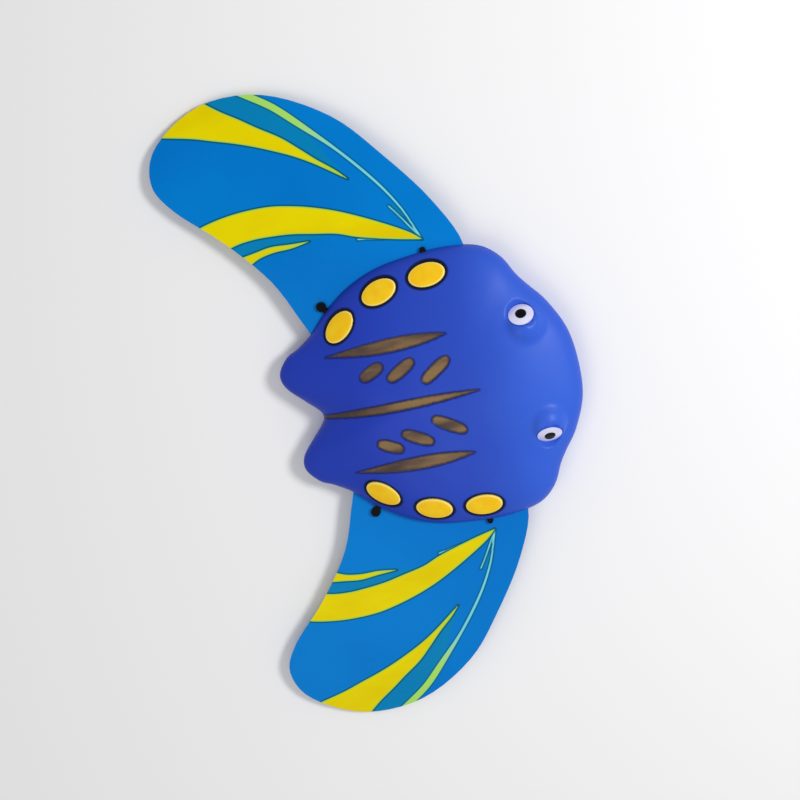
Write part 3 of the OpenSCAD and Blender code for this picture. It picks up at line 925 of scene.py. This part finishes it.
@dataclass
class Eye:
    """An eye: a white ring laid over the mound and a glossy pupil that stands a little out of it."""

    place: EyePlace
    white: Material
    black: Material
    steps: int = 48
    hole_r: float = 0.5
    foot: float = 1.5
    edge_w: float = 0.4
    well: float = 0.5
    pupil_foot: float = 1.0
    pupil_rise: float = 0.4

    def face(self, r: float, proud: float = 0.0) -> float:
        """Height of the crowned face at r from the axis, where it stands proud by as much."""
        p = self.place
        ball = p.seat - math.sqrt(p.crown_r**2 - (p.white_d / 2) ** 2)
        return ball + math.sqrt((p.crown_r + proud) ** 2 - r * r)

    def lathe(self, name: str, profile: Points, material: Material, node: str) -> Object:
        """Spins a profile of (radius, height) round the eye's axis."""
        n, out_r = self.steps, self.place.white_d / 2
        a = np.arange(n) * 2 * math.pi / n
        rings = [np.column_stack([r * np.cos(a), r * np.sin(a), np.full(n, z)]) for r, z in profile]
        bm = stacked_rings(rings, Vector((0, 0, profile[0][1])), Vector((0, 0, profile[-1][1])))
        bmesh.ops.transform(bm, matrix=self.place.matrix(), verts=bm.verts)
        obj = make_object(name, bm, material)
        give_values(obj, edge=np.concatenate([np.full(n, point[0] / out_r) for point in profile]))
        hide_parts(node)
        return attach(obj, "body")

    def ring_profile(self) -> Points:
        """The ring's profile: its foot, its wall, the crowned face, and the well of the pupil."""
        face, outer, inner = self.face, self.place.white_d / 2, self.place.pupil_d / 2
        low, well_z = self.place.seat - self.foot, face(inner) - self.well
        wall = [(self.hole_r, low), (outer - 0.2, low), (outer, low + 0.3), (outer, face(outer) - 0.2)]
        wall.append((outer - 0.12, face(outer)))
        crown = [(r, face(r)) for r in np.linspace(outer - self.edge_w, inner + self.edge_w, 12)]
        well = [(inner + 0.15, face(inner) - 0.1), (inner + 0.05, well_z), (self.hole_r, well_z)]
        return wall + crown + well

    def pupil_profile(self) -> Points:
        """The pupil's profile: its foot, its wall and its dome."""
        face, inner = self.face, self.place.pupil_d / 2
        low = face(inner) - self.pupil_foot
        dome = [(r, face(r, self.pupil_rise)) for r in np.linspace(inner * 0.96, 0.3, 9)]
        return [(0.4, low), (inner, low), (inner, face(inner) + 0.15)] + dome

    def build(self) -> list[Object]:
        """Makes the ring and the pupil."""
        side, ring, dome = self.place.side.label, self.ring_profile(), self.pupil_profile()
        return [
            self.lathe(f"eye_ring_{side}", ring, self.white, f"eye_white_{side}"),
            self.lathe(f"eye_dome_{side}", dome, self.black, f"eye_pupil_{side}"),
        ]


# -------- the wings


@dataclass(frozen=True)
class WingPrint:
    """The print on a wing, as edges of patches and centre lines, for the left wing."""

    main_outer: Points = (
        (104.5, -36.8), (110.7, -29.9), (119, -16.8), (128.8, 0.7), (136, 15.4), (141.8, 30.6),
        (145.8, 44.2), (148.7, 58), (149.7, 73.6), (149.2, 89), (146.8, 105.8), (141.8, 124),
    )  # fmt: skip
    main_inner: Points = (
        (104.5, -36.8), (108.2, -21.2), (112.4, -6.2), (116.3, 6.2), (121.2, 18.4), (124.7, 33.8),
        (127.9, 48.8), (129.6, 64.4), (130.1, 76.4), (128.8, 89), (124.1, 105.8), (120.5, 118),
    )  # fmt: skip
    thin_outer: Points = (
        (120.3, 37.5), (121.2, 50.6), (122.5, 64.4), (121.2, 76.4), (119.7, 88.3), (117.3, 99.4),
    )  # fmt: skip
    thin_inner: Points = (
        (120.3, 37.5), (118.6, 50.6), (118.6, 62.6), (117, 73.6), (113.1, 82.8), (108.4, 92),
    )  # fmt: skip
    far_outer: Points = (
        (154.1, 1.6), (161.5, 8.3), (171.3, 19.3), (181.1, 29.2), (191, 39.8), (200.8, 53.6), (208.9, 64.4),
        (218, 77.3), (230.3, 92),
    )  # fmt: skip
    far_inner: Points = (
        (154.1, 1.6), (164.7, 15.4), (171.3, 24.6), (177.9, 35.2), (184.3, 47.6), (190, 59.8), (194.9, 71.8),
        (199.8, 85.6), (204.7, 99.4), (209.7, 117.8), (213.6, 133.4),
    )  # fmt: skip
    edge_line: Points = (
        (104.5, -36.8), (116.3, -32.7), (128.8, -27.6), (144.8, -18.4), (161.5, -6.2), (177.9, 7.6),
        (194, 23), (207.4, 35.9), (214.6, 44.2), (223, 56), (234, 72),
    )  # fmt: skip
    spur_line: Points = ((104.5, -36.8), (111.2, -33), (119.2, -28), (125.8, -23.9), (130.6, -20.6))
    nick_line: Points = ((110.6, -11.5), (112.2, -4.5), (113.4, 1), (114, 5.5))
    shift: Pair = (-2.2, 1.6)
    edge_half: float = 0.5
    spur_half: float = 0.45
    nick_half: float = 0.4
    widenings: Sequence[Triple] = ((0.35, 110, 60), (1.3, 172, 34))  # by, from x, over
    steps: int = 6

    def patch(self, outer: Points, inner: Points) -> Array:
        """The loop between two smooth edges."""
        a, b = smooth_curve(outer, self.steps), smooth_curve(inner, self.steps)
        return np.concatenate([a, b[:0:-1]])

    def swooshes(self) -> list[Array]:
        """Outlines of the yellow swooshes."""
        main = self.patch(self.main_outer, self.main_inner)
        thin = self.patch(self.thin_outer, self.thin_inner)
        return [main, thin, self.patch(self.far_outer, self.far_inner)]

    def lines(self, at: Array) -> Array:
        """Distance to the thin lines, of which the one along the edge widens towards the tip."""
        edge = np.full(len(at), self.edge_half)
        for by, start, run in self.widenings:
            edge = edge + by * smooth_step((at[:, 0] - start) / run)
        lines = ((self.edge_line, edge), (self.spur_line, self.spur_half), (self.nick_line, self.nick_half))
        away = [line_distance(at, smooth_curve(line, self.steps)) - half for line, half in lines]
        return np.min(away, axis=0)

    def shades(self) -> list[Array]:
        """Outlines of the darker patches beside the swooshes."""
        far = self.patch(self.far_outer[:1] + self.edge_line[6:], self.far_outer)
        near = self.patch(self.main_inner[4:], self.thin_outer)
        return [far, near, self.patch(self.edge_line[:3] + self.spur_line[4:], self.spur_line)]


@dataclass
class Wing:
    """A flexible printed sheet, flat at the root, drooping a little outboard and very slightly waved."""

    side: Side
    material: Material
    form: RayForm
    art: WingPrint = field(default_factory=WingPrint)
    span: float = 446
    length: float = 200
    sheet_t: float = 1.2
    sheet_z: float = 12.2
    stud_to_front: float = 28
    flat_w: float = 8
    droop_r: float = 850
    wave: float = 0.5
    wave_run: float = 40
    wave_x: float = 19
    wave_y: Pair = (31, 27)
    wave_phase: float = 0.6
    columns: int = 240
    rows: int = 140
    steps: int = 5
    marks: Points = (
        (-0.08, 0.055), (0.085, 0.008), (0.316, 0.075), (0.564, 0.195), (0.8, 0.34), (0.97, 0.55),
        (0.993, 0.766), (0.865, 0.945), (0.7, 0.995), (0.549, 0.94), (0.353, 0.8), (0.12, 0.672),
        (-0.128, 0.597), (-0.31, 0.53), (-0.27, 0.34), (-0.155, 0.12),
    )  # fmt: skip
    tip_mark: int = 8
    root_mark: int = 13
    crowding: float = 0.25
    tip_x: float = 165
    tip_run: float = 34
    crease: float = 40

    @staticmethod
    def even(line: Array, count: int) -> Array:
        """The line's points, spread evenly along it."""
        gone = np.concatenate([[0], np.cumsum(np.hypot(*np.diff(line, axis=0).T))])
        to = np.linspace(0, gone[-1], count)
        return np.stack([np.interp(to, gone, line[:, 0]), np.interp(to, gone, line[:, 1])], 1)

    def outline(self) -> Array:
        """The sheet's outline, from the front of its root."""
        x0, y0 = StudPlace(self.form, Row.FRONT, Side.LEFT).at()
        reach = self.span / 2 - x0
        points = [(x0 + x * reach, y0 - self.stud_to_front + y * self.length) for x, y in self.marks]
        return smooth_curve(points, self.steps, closed=True)

    def height(self, at: Array) -> Array:
        """Height of the sheet's underside."""
        x, y = at.T
        out = np.maximum(0, x - self.form.width / 2 - self.flat_w)
        droop = self.droop_r - np.sqrt(self.droop_r**2 - out**2)
        across, along = x / self.wave_x + y / self.wave_y[0], y / self.wave_y[1] + self.wave_phase
        wave = self.wave * smooth_step(out / self.wave_run) * np.sin(across) * np.cos(along)
        return self.sheet_z - droop + wave

    def places(self) -> Array:
        """The sheet's places, column by column from the root out to the tip, which is the last one."""
        line = self.outline()
        tip, root = self.steps * self.tip_mark, self.steps * self.root_mark
        edges = line[: tip + 1], line[tip : root + 1][::-1]
        lead, trail = (self.even(edge, self.columns) for edge in edges)
        even = np.linspace(0, 1, self.rows)
        v = smooth_step(even) * self.crowding + even * (1 - self.crowding)
        at = lead[:-1, None] * (1 - v)[None, :, None] + trail[:-1, None] * v[None, :, None]
        return np.concatenate([at.reshape(-1, 2), lead[-1:]])

    def mesh(self, at: Array) -> BMesh:
        """The sheet's mesh, with the underside's points first and then the top's."""
        bm, sign, rows, columns = bmesh.new(), self.side.value, self.rows, self.columns - 1
        z = self.height(at)
        layers = []
        for lift in (0, self.sheet_t):
            layers.append([bm.verts.new((x * sign, y, h + lift)) for (x, y), h in zip(at, z)])
        for verts in layers:
            for i in range(columns - 1):
                for a in range(i * rows, i * rows + rows - 1):
                    bm.faces.new((verts[a], verts[a + 1], verts[a + rows + 1], verts[a + rows]))
            for a in range((columns - 1) * rows, columns * rows - 1):
                bm.faces.new((verts[a], verts[a + 1], verts[-1]))
        rim = [i * rows for i in range(columns)] + [len(at) - 1]
        rim += [i * rows + rows - 1 for i in reversed(range(columns))]
        rim += list(range(rows - 2, 0, -1))
        for a, b in zip(rim, rim[1:] + rim[:1]):
            bm.faces.new((layers[0][a], layers[0][b], layers[1][b], layers[1][a]))
        return bm

    def build(self) -> Object:
        """Makes the wing."""
        name, at, art = self.side.label, self.places(), self.art
        obj = make_object(f"wing_sheet_{name}", self.mesh(at), self.material)
        print_at = at - art.shift
        give_values(
            obj,
            swoosh=np.tile(capped(nearest(print_at, art.swooshes())), 2),
            lines=np.tile(capped(art.lines(print_at)), 2),
            shade=np.tile(capped(nearest(print_at, art.shades())), 2),
            tip=np.tile(smooth_step((at[:, 0] - self.tip_x) / self.tip_run), 2),
        )
        obj.data.set_sharp_from_angle(angle=math.radians(self.crease))
        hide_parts(f"wing_{name}")
        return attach(obj, f"wing_{name}")


# -------- studio


@dataclass(frozen=True)
class SoftLight:
    """A disc of light that faces the glider, in metres and watts."""

    name: str
    place: Triple
    size: float
    power: float

    def build(self) -> None:
        """Makes the light."""
        data = bpy.data.lights.new(self.name, "AREA")
        data.shape, data.size, data.energy = "DISK", self.size, self.power
        obj = bpy.data.objects.new(self.name, data)
        obj.location = self.place
        obj.rotation_euler = (-Vector(self.place)).to_track_quat("-Z", "Y").to_euler()
        bpy.context.scene.collection.objects.link(obj)


@dataclass(frozen=True)
class Studio:
    """Floor, light and the camera at the photograph's viewing angle; its lengths are in metres."""

    turn: float = 14.5
    lean_port: float = 11.0
    lean_nose: float = 12.3
    distance: float = 1.0
    lens: float = 66.5
    aim: Triple = (0.0, 0.006, 0.015)
    surround: float = 0.44
    key: SoftLight = SoftLight("key", (0.2, -1.0, 1.02), 0.34, 11.4)
    fill: SoftLight = SoftLight("fill", (-0.6, 0.5, 1.3), 1.2, 3.6)
    floor_half: float = 3.0
    floor_drop: float = 0.0004

    def floor(self) -> None:
        """A plain pale floor."""
        bm = bmesh.new()
        bmesh.ops.create_grid(bm, x_segments=1, y_segments=1, size=self.floor_half / MM)
        s = Shader("floor_pale")
        s.set(Base_Color=(0.92, 0.92, 0.93, 1), Roughness=0.9, Specular_IOR_Level=0.1)
        obj = make_object("floor", bm, s.material, smooth=False)
        obj.location.z = -self.floor_drop

    def lights(self) -> None:
        """A small key light ahead of the nose, a broad one over the tail, and an even surround."""
        world = bpy.data.worlds.new("surround")
        world.use_nodes = True
        background = world.node_tree.nodes["Background"]
        background.inputs["Color"].default_value = (1, 1, 1, 1)
        background.inputs["Strength"].default_value = self.surround
        bpy.context.scene.world = world
        self.key.build()
        self.fill.build()

    def camera(self) -> None:
        """Looks almost straight down, nose to the right and a little up in the picture."""
        out = Vector((math.sin(math.radians(self.lean_port)), -math.sin(math.radians(self.lean_nose)), 0))
        out.z = math.sqrt(1 - out.length_squared)
        turn = math.radians(self.turn)
        right = Vector((math.cos(turn), -math.sin(turn), 0)).cross(out).normalized()
        axes = Matrix((right, out.cross(right), out)).transposed().to_4x4()
        data = bpy.data.cameras.new("photo_camera")
        data.lens, data.clip_start, data.clip_end = self.lens, 0.05, 20
        obj = bpy.data.objects.new("photo_camera", data)
        obj.matrix_world = Matrix.Translation(Vector(self.aim) + out * self.distance) @ axes
        bpy.context.scene.collection.objects.link(obj)
        bpy.context.scene.camera = obj

    def build(self) -> None:
        """Sets the stage."""
        self.floor()
        self.lights()
        self.camera()
        bpy.context.scene.view_settings.view_transform = "Standard"


# -------- all together


def build_pieces() -> list[Object]:
    """Makes every piece that stands in for a CAD node."""
    form = RayForm()
    body = BodyPlastic().build("body_blue")
    sheet = PrintedSheet().build("wing_print")
    # The studs' paler edge colour is a painted highlight along their rounded edges.
    gold = Painted(srgb(250, 196, 20), srgb(252, 208, 34), srgb(252, 230, 130), shine=0.15).build("stud_gold")
    white = Painted(
        srgb(214, 214, 244), srgb(224, 224, 248), srgb(44, 78, 190), (0.91, 0.935), rough=0.22, shine=0.2
    ).build("eye_pale")
    black = Painted(srgb(3, 3, 8), srgb(8, 8, 14), rough=0.2, grain=0.002, shine=0.12).build("eye_black")
    pieces = [BackShell(form, body).build(), BellyShell(form, body).build()]
    for side in Side:
        pieces.append(Wing(side, sheet, form).build())
        for row in Row:
            place = StudPlace(form, row, side)
            pieces += [StudHead(place, under, gold).build() for under in (False, True)]
        pieces += Eye(EyePlace(form, side), white, black).build()
    return pieces


def dress_nodes(frame: dict) -> None:
    """Makes a finish the only material of each CAD node that stays.

    Args:
        frame: the loaded frame.
    """
    soft_black = Painted(srgb(4, 4, 6), srgb(12, 12, 14), rough=0.55, grain=0.05, shine=0.1)
    pale = Painted(srgb(226, 230, 238), srgb(240, 242, 246), rough=0.4, grain=0.03)
    steel = Painted(srgb(150, 152, 156), srgb(120, 122, 126), rough=0.5)
    brakes = [f"wing_brake_{side.label}_{row.label}" for side in Side for row in (Row.FRONT, Row.REAR)]
    plates = ["mouth_plate", "gill_plate_left", "gill_plate_right"]
    for finish, nodes in ((soft_black, brakes), (pale, plates), (steel, ["ballast_slug"])):
        material = finish.build(f"cad_{nodes[0]}")
        for name in nodes:
            mesh = frame["nodes"][name].data
            mesh.materials.clear()
            mesh.materials.append(material)


def main() -> None:
    """Builds every piece in order, dresses the CAD nodes that stay, logs each piece's faces and sets the
    stage.
    """
    logging.basicConfig(level=logging.INFO, format="%(name)s: %(message)s")
    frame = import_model()
    pieces = build_pieces()
    dress_nodes(frame)
    for piece in pieces:
        log.info("%s: %d faces", piece.name, len(piece.data.polygons))
    Studio().build()
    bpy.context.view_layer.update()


if __name__ == "__main__":
    main()
